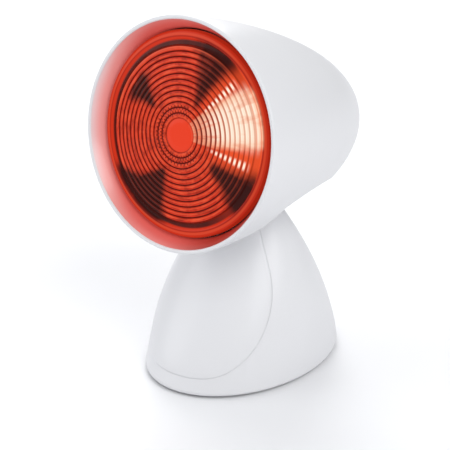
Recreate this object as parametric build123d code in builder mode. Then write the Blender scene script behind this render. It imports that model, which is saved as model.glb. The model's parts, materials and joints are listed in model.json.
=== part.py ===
from build123d import *
import os
from math import cos, pi, radians, sin, sqrt, tan

# Table-top infrared lamp: an egg-shaped head with a red PAR38 bulb tilts on a tapering foot.
# Millimetres. +Z is up, -Y is the front (the lit side), the hinge lies along X.
# The origin is on the table, at the middle of the anti-slip ring that the lamp stands on.

# ---- driving dimensions ----------------------------------------------------------------
# hinge between foot and head
pivot_height = 100.0
pivot_back = 6.0  # the hinge stands this far behind the foot's middle
rest_tilt = 9.2  # the head looks this far above the horizon
tilt_down = 10.0  # travel below the rest position
tilt_up = 30.0  # travel above it
tilt_step = 10.0  # one click of the detent
pin_radius = 4.0
pin_running_gap = 0.05
pin_overhang = 3.0
tongue_radius = 12.0
tongue_width = 14.0
cheek_thickness = 3.0
washer_thickness = 0.6
washer_radius = 8.0
washer_gap = 0.1
tongue_space = 0.4  # round the tongue's foot
clip_thickness = 0.8
clip_radius = 6.0
clip_groove = 0.6
pin_entry = 35.0  # the pin's slots slope down to the front

# head shell, an egg cut off at the rim
rim_overhang = 8.3  # the rim is this much wider than the bulb, all round
tail_room = 20.5  # from the lamp holder's bracket back to the tail
head_wall = 2.4
head_fullness = 1.487  # how late the shell starts to narrow
head_bluntness = 2.327  # how round its tail is
pivot_depth = 80.5  # from the rim's plane back to the hinge
rim_round = 0.9

# notch under the head that the foot's neck stands in
notch_ahead = 42.5  # the arch begins this far ahead of the hinge
notch_slope = 61.0
notch_crown_back = 7.5  # its crown is this far behind the hinge
notch_top = 27.4  # from the head's axis down to the crown
notch_radius = 150.0
notch_tail = 9.2  # the notch ends this far ahead of the tail
notch_corner = 7.0
dome_room = 10.1  # between the arch's crown and the top of the foot

# slots in the tail that let the warm air out
vent_width = 3.0
vent_pitch = 8.0
vent_rows = 5
vent_field = 24.0

# funnel between rim and bulb
funnel_wall = 1.2
funnel_lip = 0.9
funnel_fit = 0.2
throat_depth = 11.5
throat_collar = 5.0
bulb_gap = 2.0
tab_count = 3
tab_length = 9.0
tab_width = 12.0

# bulb, PAR38 with an E27 cap
bulb_radius = 60.5
bulb_length = 136.0
face_depth = 3.5  # from the rim's plane to the middle of the lens
lens_rise = 4.5
lens_thickness = 3.0
flange_width = 3.5
centre_disc_radius = 8.0
lens_rings = 13
ring_height = 0.8
ring_field_radius = 52.0
groove_width = 4.0  # plain groove round the rings
groove_depth = 0.9
lens_chamfer = 1.0
glass_thickness = 2.5
neck_radius = 21.0
neck_length = 20.5  # from the vertex of the bowl's parabola to the cap
skirt_length = 26.0
skirt_sheet = 0.8
skirt_collar = 3.0
metal_fit = 0.1
cap_radius = 13.1
cap_length = 27.0
cap_sheet = 0.8
cap_shoulder = 6.0
contact_radius = 4.8
contact_height = 1.6
insulator_radius = 7.1
filament_length = 24.0
filament_radius = 0.9
filament_ahead = 37.0  # of the bowl's vertex
support_radius = 0.6

# lamp holder and its bracket
socket_gap = 0.35
sleeve_sheet = 0.7
holder_fit = 0.1
holder_radius = 20.0
holder_mouth = 2.0  # the holder starts this far behind the bulb's skirt
holder_floor = 4.5
contact_gap = 0.3
contact_sheet = 0.9
contact_disc = 6.0
holder_screw_offset = 9.0
holder_screw_floor = 1.0  # porcelain left beyond the blind screw holes
bracket_sheet = 1.5
bracket_width = 15.0
bracket_gap = 0.5
bracket_ear = 14.0
bracket_reach = 22.0
bracket_hole_from_edge = 5.0

# fasteners
screw_head_radius = 3.2
screw_head_height = 1.8
screw_radius = 1.6
screw_hole_gap = 0.1
screw_length = 11.0
screw_end_gap = 1.0  # a screw ends this far before its hole does
boss_radius = 3.8
boss_rib = 2.0

# belly, the moulding that closes the notch and carries the hinge's tongue
belly_wall = 2.4
belly_fit = 0.25
bulb_heat_gap = 4.0
neck_heat_gap = 5.6
belly_screw_ahead = 22.5  # of the hinge
belly_screw_back = 27.5  # behind it
belly_screw_inset = 8.5
belly_boss_height = 13.0
belly_screw_sink = 1.0

# foot
base_half_width = 54.3
base_half_depth = 74.5
base_wall = 2.8
base_bottom = 1.4  # the shell ends this far above the table
base_edge_round = 2.2
dome_half_width = 19.5
dome_radius = 13.5
dome_angle = 35.0  # where the foot's flanks run into the dome
width_power = 2.62
depth_power = 1.24
base_sections = 7

# front cover, a teardrop that stands a little proud
cover_bottom = 11.9
cover_half_width = 41.0
cover_widest = 42.0
cover_above_pivot = 1.0
cover_top_width = 14.5  # half width of its straight top edge
cover_foot_width = 32.5  # half width low down, near the round bottom
cover_foot_height = 18.0
cover_flank_width = 28.7  # half width high up, on the flank
cover_flank_height = 79.6
cover_proud = 0.9
cover_gap = 0.3
cover_seat = 3.0
cover_seat_thickness = 1.8
cover_end = 4.0  # the cover ends this far in front of the hinge

# underside
plate_bottom = 2.0
plate_thickness = 3.0
plate_gap = 0.4
ring_inset = 13.0
ring_width = 6.0
ring_groove = 1.2
post_radius = 4.2
post_inset = 11.3  # from the foot's side
post_y = 22.0
post_rib = 12.0

# cord inlet in the back of the foot
inlet_height = 18.0
inlet_radius = 3.3
gland_radius = 5.2
gland_fit = 0.15
gland_flange_radius = 7.6
gland_flange = 2.4
gland_boss_radius = 8.8
gland_boss_inset = 14.5  # from the back of the foot
gland_proud = 2.0

# detent that clicks into the tongue's notches
detent_radius = 0.9
spring_sheet = 0.5
spring_width = 8.0
spring_foot = 4.0  # the spring lifts off its shelf this far behind the hinge
spring_end = 5.0
spring_gap = 0.15
shelf_drop = 16.5
shelf_thickness = 2.4
shelf_half_depth = 11.0

# terminal block
block_length = 24.0
block_width = 13.0
block_height = 11.0
block_inset = 26.5  # from the back of the foot
block_ways = 3
block_wire_radius = 2.2

# ---- places and sizes worked out from them -----------------------------------------------
tilt = radians(rest_tilt)
back = Vector(0, cos(tilt), -sin(tilt))
up = Vector(0, sin(tilt), cos(tilt))
pivot = Vector(0, pivot_back, pivot_height)
pivot_drop = notch_top + dome_room + dome_radius  # from the head's axis down to the hinge
rim_centre = pivot - back * pivot_depth + up * pivot_drop

# section: x is the depth behind the rim, y the height above the head's axis
section = Plane(origin=rim_centre, x_dir=back, z_dir=(1, 0, 0))
# front: x is the lamp's X, y the height above the head's axis, looking forward
front = Plane(origin=rim_centre, x_dir=(1, 0, 0), z_dir=back * -1)
# level: x is the lamp's X, y the depth behind the rim, looking up
level = Plane(origin=rim_centre, x_dir=(1, 0, 0), z_dir=up)
head_axis = Axis(rim_centre, back)
# hinge_side: x is the distance behind the hinge, y the height above it
hinge_side = Plane(origin=pivot, x_dir=(0, 1, 0), z_dir=(1, 0, 0))
slot_dir = (0, cos(radians(pin_entry)), sin(radians(pin_entry)))
slot_side = Plane(origin=pivot, x_dir=slot_dir, z_dir=(1, 0, 0))

flange_front = face_depth + lens_rise
lens_back = flange_front + flange_width
flange_back = lens_back + flange_width
cap_back = face_depth + bulb_length
cap_front = cap_back - cap_length
bowl_vertex = cap_front - neck_length
filament_depth = bowl_vertex - filament_ahead
skirt_front = cap_front - skirt_length
neck_back = cap_front - skirt_length / 2
skirt_outside = neck_radius + metal_fit + skirt_sheet
tub_radius = skirt_outside + neck_heat_gap
throat_radius = bulb_radius + bulb_gap

sleeve_bore = cap_radius + socket_gap
sleeve_outside = sleeve_bore + sleeve_sheet
holder_bore = sleeve_outside + holder_fit
holder_front = cap_front + holder_mouth
holder_seat = cap_back + contact_gap + contact_sheet
holder_back = holder_seat + holder_floor
bracket_back = holder_back + bracket_sheet
bracket_leg = holder_radius + bracket_gap
bracket_front = bracket_back - bracket_reach
ear_edge = bracket_leg + bracket_ear
ear_hole = ear_edge - bracket_hole_from_edge
screw_hole = screw_radius + screw_hole_gap

head_radius = bulb_radius + rim_overhang
head_length = bracket_back + tail_room
mouth_radius = head_radius - head_wall - funnel_fit
notch_front = pivot_depth - notch_ahead
notch_apex = pivot_depth + notch_crown_back
notch_rear = head_length - notch_tail

neck_height = pivot_height + dome_radius * sin(radians(dome_angle))
neck_half_width = dome_half_width * cos(radians(dome_angle))
neck_half_depth = dome_radius * cos(radians(dome_angle))
cheek_inside = tongue_width / 2 + washer_gap + washer_thickness
cheek_outside = cheek_inside + cheek_thickness
pin_half = cheek_outside + pin_overhang
plate_top = plate_bottom + plate_thickness
click_count = round((tilt_down + tilt_up) / tilt_step) + 1
cover_top = pivot_height + cover_above_pivot
post_x = base_half_width - post_inset
gland_boss_front = base_half_depth - gland_boss_inset
block_back = base_half_depth - block_inset


def egg_radius(depth, inset=0.0):
    """Radius of the head's outline at a depth behind the rim, shrunk by inset."""
    share = depth / (head_length - inset)
    return (head_radius - inset) * (1 - share**head_fullness) ** (1 / head_bluntness)


def egg_depth(radius, inset=0.0):
    """Depth behind the rim where the head's outline, shrunk by inset, has a radius."""
    share = radius / (head_radius - inset)
    return (head_length - inset) * (1 - share**head_bluntness) ** (1 / head_fullness)


def egg_curve_points(inset=0.0, count=10):
    """Points of the head's outline from the rim to the tail, shrunk by inset."""
    length = head_length - inset
    radius = head_radius - inset
    angles = [pi / 2 * i / count for i in range(count)]
    points = [
        (length * sin(a) ** (2 / head_fullness), radius * cos(a) ** (2 / head_bluntness))
        for a in angles
    ]
    return points + [(length, 0)]


def egg_solid(inset=0.0):
    """The head's full outline as one solid, shrunk by inset."""
    with BuildPart() as egg:
        with BuildSketch(section):
            with BuildLine():
                outline = Spline(*egg_curve_points(inset), tangents=[(1, 0), (0, -1)])
                Polyline(outline @ 1, (0, 0), outline @ 0)
            make_face()
        revolve(axis=head_axis)
    return egg.part


def turned(points):
    """A solid turned about the head's axis from a closed run of (depth, radius) points."""
    with BuildPart() as piece:
        with BuildSketch(section):
            with BuildLine():
                Polyline(*points, close=True)
            make_face()
        revolve(axis=head_axis)
    return piece.part


def bulb_outline(grow, tube_radius, tube_end):
    """The bulb's parabolic bowl, grown by grow, with a tube behind it, as one solid."""
    rim = bulb_radius + grow
    vertex = bowl_vertex + grow
    tube_start = (flange_back + bowl_vertex) / 2
    with BuildPart() as outline:
        with BuildSketch(section):
            with BuildLine():
                bowl = Bezier((flange_back, rim), (vertex, rim / 2), (vertex, 0))
                Polyline(bowl @ 1, (flange_back, 0), bowl @ 0)
            make_face()
            with Locations((tube_start, 0)):
                Rectangle(tube_end - tube_start, tube_radius, align=(Align.MIN, Align.MIN))
        revolve(axis=head_axis)
    return outline.part


def lens_depth(radius):
    """Depth of the lens's crowned face at a radius."""
    return face_depth + lens_rise * (radius / bulb_radius) ** 2


def arch_drop(depth):
    """How far the notch's arch lies below the head's axis at a depth."""
    return notch_top + notch_radius - sqrt(notch_radius**2 - (depth - notch_apex) ** 2)


def notch_prism(grow=0.0):
    """The space cut from under the head, across its whole width, grown all round by grow."""
    floor = -head_radius - notch_corner
    arch_start = (notch_front, -arch_drop(notch_front))
    run = (arch_start[1] - floor) / tan(radians(notch_slope))
    with BuildPart() as prism:
        with BuildSketch(section) as outline:
            with BuildLine():
                arch = ThreePointArc(
                    arch_start,
                    (notch_apex, -notch_top),
                    (notch_rear, -arch_drop(notch_rear)),
                )
                Polyline(arch @ 1, (notch_rear, floor), (notch_front - run, floor), arch @ 0)
            make_face()
            corner = outline.vertices().sort_by_distance(arch_start)[0]
            fillet(corner, radius=notch_corner)
            if grow:
                offset(amount=grow)
        extrude(amount=head_radius + notch_corner, both=True)
    return prism.part


def foot_half_sizes(share):
    """Half width and half depth of the foot; share is 0 at the table and 1 at the dome."""
    width = neck_half_width + (base_half_width - neck_half_width) * (1 - share**width_power)
    depth = neck_half_depth + (base_half_depth - neck_half_depth) * (1 - share**depth_power)
    return width, depth


def foot_section(share, inset=0.0):
    """Oval cross-section of the foot at a share of its height, shrunk by inset."""
    width, depth = foot_half_sizes(share)
    middle = (0, pivot_back * share**2)
    with BuildSketch(Plane.XY.offset(neck_height * share)) as oval:
        with BuildLine():
            for quarter in range(4):
                start = 90 * quarter + 45
                EllipticalCenterArc(middle, width - inset, depth - inset, start, arc_size=90)
        make_face()
    return oval.sketch


def dome_cap(inset=0.0):
    """The rounded top of the foot above its neck, shrunk by inset."""
    with BuildPart() as cap:
        with BuildSketch(Plane.XY.offset(pivot_height)):
            with Locations((0, pivot_back)):
                Ellipse(dome_half_width - inset, dome_radius - inset)
                Rectangle(
                    4 * dome_half_width,
                    2 * dome_radius,
                    align=(Align.CENTER, Align.MAX),
                    mode=Mode.SUBTRACT,
                )
        revolve(axis=Axis(pivot, (1, 0, 0)))
        split(bisect_by=Plane.XY.offset(neck_height), keep=Keep.TOP)
    return cap.part


def foot_solid(inset=0.0, bottom=0.0, edge_round=0.0):
    """The foot's outline with its dome as one solid, shrunk by inset."""
    lowest = bottom / neck_height
    with BuildPart() as solid:
        for i in range(base_sections):
            add(foot_section(lowest + (1 - lowest) * i / (base_sections - 1), inset))
        loft()
        if edge_round:
            fillet(solid.edges().group_by(Axis.Z)[0], radius=edge_round)
        add(dome_cap(inset))
    return solid.part


def teardrop_prism(grow=0.0):
    """The front cover's outline carried forward, grown all round by grow."""
    slant = grow * sqrt(0.5)
    lean = (cover_top_width - cover_flank_width, cover_top - cover_flank_height)
    with BuildPart() as prism:
        with BuildSketch(Plane.XZ.offset(cover_end - pivot_back)):
            with BuildLine():
                Spline(
                    (0, cover_bottom - grow),
                    (cover_foot_width + slant, cover_foot_height - slant),
                    (cover_half_width + grow, cover_widest),
                    tangents=[(1, 0), (0, 1)],
                )
                flank = Spline(
                    (cover_half_width + grow, cover_widest),
                    (cover_flank_width + slant, cover_flank_height + slant),
                    (cover_top_width + slant, cover_top + grow),
                    tangents=[(0, 1), lean],
                )
                Line(flank @ 1, (0, cover_top + grow))
                mirror(about=Plane.YZ)
            make_face()
        extrude(amount=base_half_depth * 1.2)
    return prism.part


def finish(piece, name):
    """Names a finished piece and writes it."""
    piece.part.label = name
    export_step(piece.part, f"parts/{name}.step")


os.makedirs("parts", exist_ok=True)

# ---- head ---------------------------------------------------------------------------------
# bosses inside the shell: two for the lamp holder's bracket, four for the belly
with BuildPart() as bracket_bosses:
    with BuildSketch(front.offset(-bracket_front - bracket_sheet)):
        with Locations((ear_hole, 0), (-ear_hole, 0)):
            Circle(boss_radius)
        # ribs from the bosses out to the shell
        with GridLocations(ear_hole + head_radius, 0, 2, 1):
            Rectangle(head_radius - ear_hole, boss_rib)
    extrude(amount=-head_length)
    add(egg_solid(head_wall / 2), mode=Mode.INTERSECT)

belly_screw_places = []
for depth in (pivot_depth - belly_screw_ahead, pivot_depth + belly_screw_back):
    half_width = sqrt(egg_radius(depth, head_wall) ** 2 - arch_drop(depth) ** 2)
    screw_x = half_width - belly_screw_inset
    belly_screw_places += [(screw_x, depth), (-screw_x, depth)]

with BuildPart() as belly_bosses:
    for x, depth in belly_screw_places:
        rib = boss_radius * 2 + belly_screw_inset
        rib_align = Align.MIN if x > 0 else Align.MAX
        with BuildSketch(level.offset(-arch_drop(depth))):
            with Locations((x, depth)):
                Circle(boss_radius)
                Rectangle(rib, belly_wall, align=(rib_align, Align.CENTER))
        extrude(amount=belly_boss_height)
    add(egg_solid(head_wall / 2), mode=Mode.INTERSECT)
    add(notch_prism(belly_wall + screw_hole_gap), mode=Mode.SUBTRACT)

with BuildPart() as head_shell:
    with BuildSketch(section):
        with BuildLine():
            outside = Spline(*egg_curve_points(), tangents=[(1, 0), (0, -1)])
            inside = Spline(*egg_curve_points(head_wall), tangents=[(1, 0), (0, -1)])
            Line(outside @ 0, inside @ 0)
            Line(outside @ 1, inside @ 1)
        make_face()
    revolve(axis=head_axis)
    rim_edges = head_shell.edges().filter_by(GeomType.CIRCLE).sort_by(head_axis)[:2]
    fillet(rim_edges, radius=rim_round)
    add(notch_prism(), mode=Mode.SUBTRACT)
    add(bracket_bosses.part)
    add(belly_bosses.part)
    # pilot holes in the bosses
    with BuildSketch(front.offset(-bracket_front)):
        with Locations((ear_hole, 0), (-ear_hole, 0)):
            Circle(screw_hole)
    extrude(amount=-screw_length, mode=Mode.SUBTRACT)
    for x, depth in belly_screw_places:
        with BuildSketch(level.offset(-arch_drop(depth))):
            with Locations((x, depth)):
                Circle(screw_hole)
        extrude(amount=screw_length, mode=Mode.SUBTRACT)
    # air slots in the tail, each as long as the round field is wide there
    with BuildSketch(front.offset(-head_length)):
        for row in range(vent_rows):
            height = (row - (vent_rows - 1) / 2) * vent_pitch
            with Locations((0, height)):
                SlotOverall(2 * sqrt(vent_field**2 - height**2), vent_width)
    vent_reach = head_length - egg_depth(vent_field + vent_width, head_wall)
    extrude(amount=vent_reach, mode=Mode.SUBTRACT)
finish(head_shell, "head_shell")

with BuildPart() as funnel:
    throat_end = throat_depth + throat_collar
    with BuildSketch(section):
        with BuildLine():
            Polyline(
                (funnel_lip, mouth_radius),
                (funnel_lip, mouth_radius - funnel_wall),
                (throat_depth, throat_radius),
                (throat_end, throat_radius),
                (throat_end, throat_radius + funnel_wall),
                (throat_depth, throat_radius + funnel_wall),
                close=True,
            )
        make_face()
    revolve(axis=head_axis)
    with BuildSketch(front.offset(-throat_depth)):
        with PolarLocations(throat_radius + funnel_wall / 2, tab_count, start_angle=90):
            Rectangle(funnel_wall, tab_width, align=(Align.MIN, Align.CENTER))
    extrude(amount=-tab_length)
finish(funnel, "funnel")

# the belly: an arched tray whose middle swells round the bulb, with the hinge's tongue
tub_outside = bulb_outline(bulb_heat_gap + belly_wall, tub_radius + belly_wall, head_length)
belly_hollow = notch_prism() - tub_outside
bulb_space = bulb_outline(bulb_heat_gap, tub_radius, head_length)

with BuildPart() as belly:
    add(egg_solid(head_wall + belly_fit))
    add(notch_prism(belly_wall), mode=Mode.INTERSECT)
    add(belly_hollow, mode=Mode.SUBTRACT)
    with BuildSketch(section):
        with Locations((pivot_depth, -pivot_drop)):
            Circle(tongue_radius)
            Rectangle(
                2 * tongue_radius,
                pivot_drop - tub_radius,
                align=(Align.CENTER, Align.MIN),
            )
    extrude(amount=tongue_width / 2, both=True)
    add(bulb_space, mode=Mode.SUBTRACT)
    # pivot bore, and one notch for each click at the foot of the tongue
    with BuildSketch(hinge_side):
        Circle(pin_radius + pin_running_gap)
        for click in range(click_count):
            angle = radians(click * tilt_step - tilt_down)
            with Locations((tongue_radius * sin(angle), -tongue_radius * cos(angle))):
                Circle(detent_radius)
    extrude(amount=tongue_width, both=True, mode=Mode.SUBTRACT)
    for x, depth in belly_screw_places:
        with BuildSketch(level.offset(-arch_drop(depth) + belly_screw_sink)):
            with Locations((x, depth)):
                Circle(screw_head_radius + belly_fit)
        extrude(amount=-screw_length, mode=Mode.SUBTRACT)
        with BuildSketch(level.offset(-arch_drop(depth))):
            with Locations((x, depth)):
                Circle(screw_hole)
        extrude(amount=screw_length, mode=Mode.SUBTRACT)
finish(belly, "belly_cover")

with BuildPart() as belly_screws:
    for x, depth in belly_screw_places:
        with BuildSketch(level.offset(-arch_drop(depth) + belly_screw_sink)):
            with Locations((x, depth)):
                Circle(screw_head_radius)
        extrude(amount=-screw_head_height)
        with BuildSketch(level.offset(-arch_drop(depth) + belly_screw_sink)):
            with Locations((x, depth)):
                Circle(screw_radius)
        extrude(amount=screw_length - belly_screw_sink - screw_end_gap)
finish(belly_screws, "belly_screws")

# ---- lamp holder --------------------------------------------------------------------------
with BuildPart() as holder_bracket:
    with BuildSketch(front.offset(-bracket_back)):
        Rectangle(2 * (bracket_leg + bracket_sheet), bracket_width)
        with Locations((holder_screw_offset, 0), (-holder_screw_offset, 0)):
            Circle(screw_hole, mode=Mode.SUBTRACT)
    extrude(amount=bracket_sheet)
    for side in (1, -1):
        with BuildSketch(front.offset(-bracket_back)):
            with Locations((side * (bracket_leg + bracket_sheet / 2), 0)):
                Rectangle(bracket_sheet, bracket_width)
        extrude(amount=bracket_reach)
        with BuildSketch(front.offset(-bracket_front - bracket_sheet)):
            with Locations((side * (bracket_leg + ear_edge) / 2, 0)):
                Rectangle(ear_edge - bracket_leg, bracket_width)
            with Locations((side * ear_hole, 0)):
                Circle(screw_hole, mode=Mode.SUBTRACT)
        extrude(amount=bracket_sheet)
finish(holder_bracket, "holder_bracket")

with BuildPart() as bracket_screws:
    with BuildSketch(front.offset(-bracket_front)):
        with Locations((ear_hole, 0), (-ear_hole, 0)):
            Circle(screw_head_radius)
    extrude(amount=screw_head_height)
    with BuildSketch(front.offset(-bracket_front)):
        with Locations((ear_hole, 0), (-ear_hole, 0)):
            Circle(screw_radius)
    extrude(amount=screw_end_gap - screw_length)
finish(bracket_screws, "bracket_screws")

with BuildPart() as lamp_holder:
    chamfer_size = holder_mouth / 2
    with BuildSketch(section):
        with BuildLine():
            Polyline(
                (holder_front, holder_bore),
                (holder_front, holder_radius - chamfer_size),
                (holder_front + chamfer_size, holder_radius),
                (holder_back, holder_radius),
                (holder_back, 0),
                (holder_seat, 0),
                (holder_seat, holder_bore),
                close=True,
            )
        make_face()
    revolve(axis=head_axis)
    with BuildSketch(front.offset(-holder_back)):
        with Locations((holder_screw_offset, 0), (-holder_screw_offset, 0)):
            Circle(screw_hole)
    extrude(amount=holder_floor - holder_screw_floor, mode=Mode.SUBTRACT)
finish(lamp_holder, "lamp_holder")

with BuildPart() as holder_screws:
    with BuildSketch(front.offset(-bracket_back)):
        with Locations((holder_screw_offset, 0), (-holder_screw_offset, 0)):
            Circle(screw_head_radius)
    extrude(amount=-screw_head_height)
    with BuildSketch(front.offset(-bracket_back)):
        with Locations((holder_screw_offset, 0), (-holder_screw_offset, 0)):
            Circle(screw_radius)
    extrude(amount=bracket_sheet + holder_floor - holder_screw_floor - screw_end_gap)
finish(holder_screws, "holder_screws")

with BuildPart() as screw_shell:
    with BuildSketch(section):
        with Locations((holder_front + holder_fit, sleeve_bore)):
            Rectangle(
                holder_seat - holder_front - holder_fit,
                sleeve_sheet,
                align=(Align.MIN, Align.MIN),
            )
    revolve(axis=head_axis)
finish(screw_shell, "screw_shell")

with BuildPart() as centre_contact:
    with BuildSketch(front.offset(-holder_seat)):
        Circle(contact_disc)
    extrude(amount=contact_sheet)
finish(centre_contact, "centre_contact")

# ---- bulb ---------------------------------------------------------------------------------
with BuildPart() as bulb_lens:
    ring_pitch = (ring_field_radius - centre_disc_radius) / lens_rings
    face_points = [(face_depth, 0), (face_depth, centre_disc_radius)]
    for ring in range(lens_rings):
        crest = centre_disc_radius + (ring + 0.5) * ring_pitch
        face_points.append((lens_depth(crest) - ring_height, crest))
        face_points.append((lens_depth(crest + ring_pitch / 2), crest + ring_pitch / 2))
    groove_outside = ring_field_radius + groove_width
    with BuildSketch(section):
        with BuildLine():
            Polyline(
                *face_points,
                (lens_depth(ring_field_radius) + groove_depth, ring_field_radius + groove_depth),
                (lens_depth(groove_outside) + groove_depth, groove_outside - groove_depth),
                (lens_depth(groove_outside), groove_outside),
                (flange_front, bulb_radius - lens_chamfer),
                (flange_front + lens_chamfer, bulb_radius),
                (lens_back, bulb_radius),
                (lens_back, bulb_radius - flange_width),
            )
            inner = TangentArc(
                (face_depth + lens_thickness, 0),
                (lens_back, bulb_radius - flange_width),
                tangent=(0, 1),
            )
            Line(inner @ 0, (face_depth, 0))
        make_face()
    revolve(axis=head_axis)
finish(bulb_lens, "bulb_lens")

with BuildPart() as bulb_reflector:
    add(bulb_outline(0, neck_radius, neck_back))
    add(
        turned(
            [
                (lens_back, bulb_radius),
                (flange_back, bulb_radius),
                (flange_back, 0),
                (lens_back, 0),
            ]
        )
    )
    inner_rim = bulb_radius - flange_width
    inner_vertex = bowl_vertex - glass_thickness
    with BuildSketch(section):
        with BuildLine():
            hollow = Bezier((lens_back, inner_rim), (inner_vertex, inner_rim / 2), (inner_vertex, 0))
            Polyline(hollow @ 1, (lens_back, 0), hollow @ 0)
        make_face()
    revolve(axis=head_axis, mode=Mode.SUBTRACT)
finish(bulb_reflector, "bulb_reflector")

skirt_bend = neck_back + skirt_collar
collar_outside = cap_radius + metal_fit + skirt_sheet
with BuildPart() as bulb_skirt:
    with BuildSketch(section):
        with BuildLine():
            Polyline(
                (skirt_front, skirt_outside),
                (skirt_bend, skirt_outside),
                (cap_front - skirt_collar, collar_outside),
                (cap_front, collar_outside),
                (cap_front, collar_outside - skirt_sheet),
                (cap_front - skirt_collar, collar_outside - skirt_sheet),
                (skirt_bend, skirt_outside - skirt_sheet),
                (skirt_front, skirt_outside - skirt_sheet),
                close=True,
            )
        make_face()
    revolve(axis=head_axis)
finish(bulb_skirt, "bulb_skirt")

cap_shoulder_at = cap_back - cap_shoulder
cap_mouth_at = cap_back - cap_shoulder / 2
insulator_bore = insulator_radius + metal_fit
with BuildPart() as bulb_cap:
    with BuildSketch(section):
        with BuildLine():
            Polyline(
                (cap_front - skirt_collar, cap_radius),
                (cap_shoulder_at, cap_radius),
                (cap_mouth_at, insulator_bore + cap_sheet),
                (cap_mouth_at, insulator_bore),
                (cap_shoulder_at, cap_radius - cap_sheet),
                (cap_front - skirt_collar, cap_radius - cap_sheet),
                close=True,
            )
        make_face()
    revolve(axis=head_axis)
finish(bulb_cap, "bulb_cap")

with BuildPart() as cap_insulator:
    add(
        turned(
            [
                (cap_mouth_at - contact_height, 0),
                (cap_mouth_at - contact_height, insulator_radius),
                (cap_mouth_at, insulator_radius),
                (cap_back - contact_height, contact_radius),
                (cap_back - contact_height, 0),
            ]
        )
    )
finish(cap_insulator, "cap_insulator")

with BuildPart() as cap_contact:
    with BuildSketch(front.offset(-cap_back)):
        Circle(contact_radius)
    extrude(amount=contact_height)
finish(cap_contact, "cap_contact")

with BuildPart() as filament:
    with BuildSketch(section.offset(-filament_length / 2)):
        with Locations((filament_depth, 0)):
            Circle(filament_radius)
    extrude(amount=filament_length)
finish(filament, "filament")

with BuildPart() as filament_supports:
    support_x = filament_length / 2 - 2 * support_radius
    bowl_there = ((support_x + support_radius) / inner_rim) ** 2 * (inner_vertex - lens_back)
    with BuildSketch(front.offset(-filament_depth - filament_radius)):
        with Locations((support_x, 0), (-support_x, 0)):
            Circle(support_radius)
    extrude(amount=filament_depth + filament_radius - inner_vertex + bowl_there)
finish(filament_supports, "filament_supports")

# ---- foot ---------------------------------------------------------------------------------
foot_outside = foot_solid(bottom=base_bottom, edge_round=base_edge_round)
foot_middle = foot_solid(base_wall / 2)
foot_inside = foot_solid(base_wall)
foot_seat = foot_solid(base_wall + cover_seat_thickness)
cover_outside = foot_solid(-cover_proud)
seat_inner = teardrop_prism(-cover_seat)
seat_band = teardrop_prism(cover_seat + cover_gap) - foot_seat
cover_room = teardrop_prism(cover_gap) - foot_inside
cover_opening = teardrop_prism(cover_gap) - (foot_inside - seat_inner)
foot_wall = foot_outside - (foot_inside - seat_band) - cover_opening

# the room that the tongue needs over its whole travel
with BuildPart() as tongue_room:
    room = tongue_radius + tongue_space
    room_length = pivot_drop
    with BuildSketch(hinge_side):
        Circle(room)
        for angle in (rest_tilt - tilt_down, rest_tilt + tilt_up):
            with Locations(Location((0, 0), -angle)):
                Rectangle(2 * room, room_length, align=(Align.CENTER, Align.MIN))
    extrude(amount=cheek_inside, both=True)

with BuildPart() as cheeks:
    cheek_bottom = pivot_height - shelf_drop - 2 * shelf_thickness
    cheek_top = neck_height + dome_radius
    with BuildSketch(Plane.YZ.offset(cheek_inside)):
        with Locations((pivot_back, cheek_bottom)):
            Rectangle(4 * dome_radius, cheek_top - cheek_bottom, align=(Align.CENTER, Align.MIN))
    extrude(amount=cheek_thickness)
    # the pin's slot is open to the front, where the pin goes in before the cover
    with BuildSketch(slot_side.offset(cheek_inside)):
        Circle(pin_radius)
        Rectangle(4 * dome_radius, 2 * pin_radius, align=(Align.MAX, Align.CENTER))
    extrude(amount=cheek_thickness, mode=Mode.SUBTRACT)
    mirror(about=Plane.YZ)
    with BuildSketch(Plane.XY.offset(pivot_height - shelf_drop - shelf_thickness)):
        with Locations((0, pivot_back)):
            Rectangle(2 * cheek_outside, 2 * shelf_half_depth)
    extrude(amount=shelf_thickness)
    add(foot_middle, mode=Mode.INTERSECT)
    add(cover_room, mode=Mode.SUBTRACT)

with BuildPart() as foot_posts:
    with BuildSketch(Plane.XY.offset(plate_top)):
        with GridLocations(2 * post_x, 2 * post_y, 2, 2):
            Circle(post_radius)
        with GridLocations(2 * post_x + post_rib, 2 * post_y, 2, 2):
            Rectangle(post_rib, base_wall)
    extrude(amount=neck_height / 2)
    with BuildSketch(Plane.XZ.offset(-gland_boss_front)):
        with Locations((0, inlet_height)):
            Circle(gland_boss_radius)
    extrude(amount=-base_half_depth / 3)
    add(foot_middle, mode=Mode.INTERSECT)
    add(cover_room, mode=Mode.SUBTRACT)

with BuildPart() as base_shell:
    add(foot_wall)
    add(cheeks.part)
    add(foot_posts.part)
    add(tongue_room.part, mode=Mode.SUBTRACT)
    with BuildSketch(hinge_side):
        Rectangle(room_length, room_length, align=(Align.MAX, Align.MIN))
    extrude(amount=cheek_inside, both=True, mode=Mode.SUBTRACT)
    with BuildSketch(Plane.XY.offset(plate_top)):
        with GridLocations(2 * post_x, 2 * post_y, 2, 2):
            Circle(screw_hole)
    extrude(amount=screw_length, mode=Mode.SUBTRACT)
    with BuildSketch(Plane.XZ.offset(-gland_boss_front)):
        with Locations((0, inlet_height)):
            Circle(gland_radius + gland_fit)
    extrude(amount=-base_half_depth / 3, mode=Mode.SUBTRACT)
    with BuildSketch(Plane.XY.offset(pivot_height - shelf_drop)):
        with Locations((0, pivot_back + (spring_foot + shelf_half_depth) / 2)):
            Circle(screw_hole)
    extrude(amount=-shelf_thickness, mode=Mode.SUBTRACT)
finish(base_shell, "base_shell")

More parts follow.
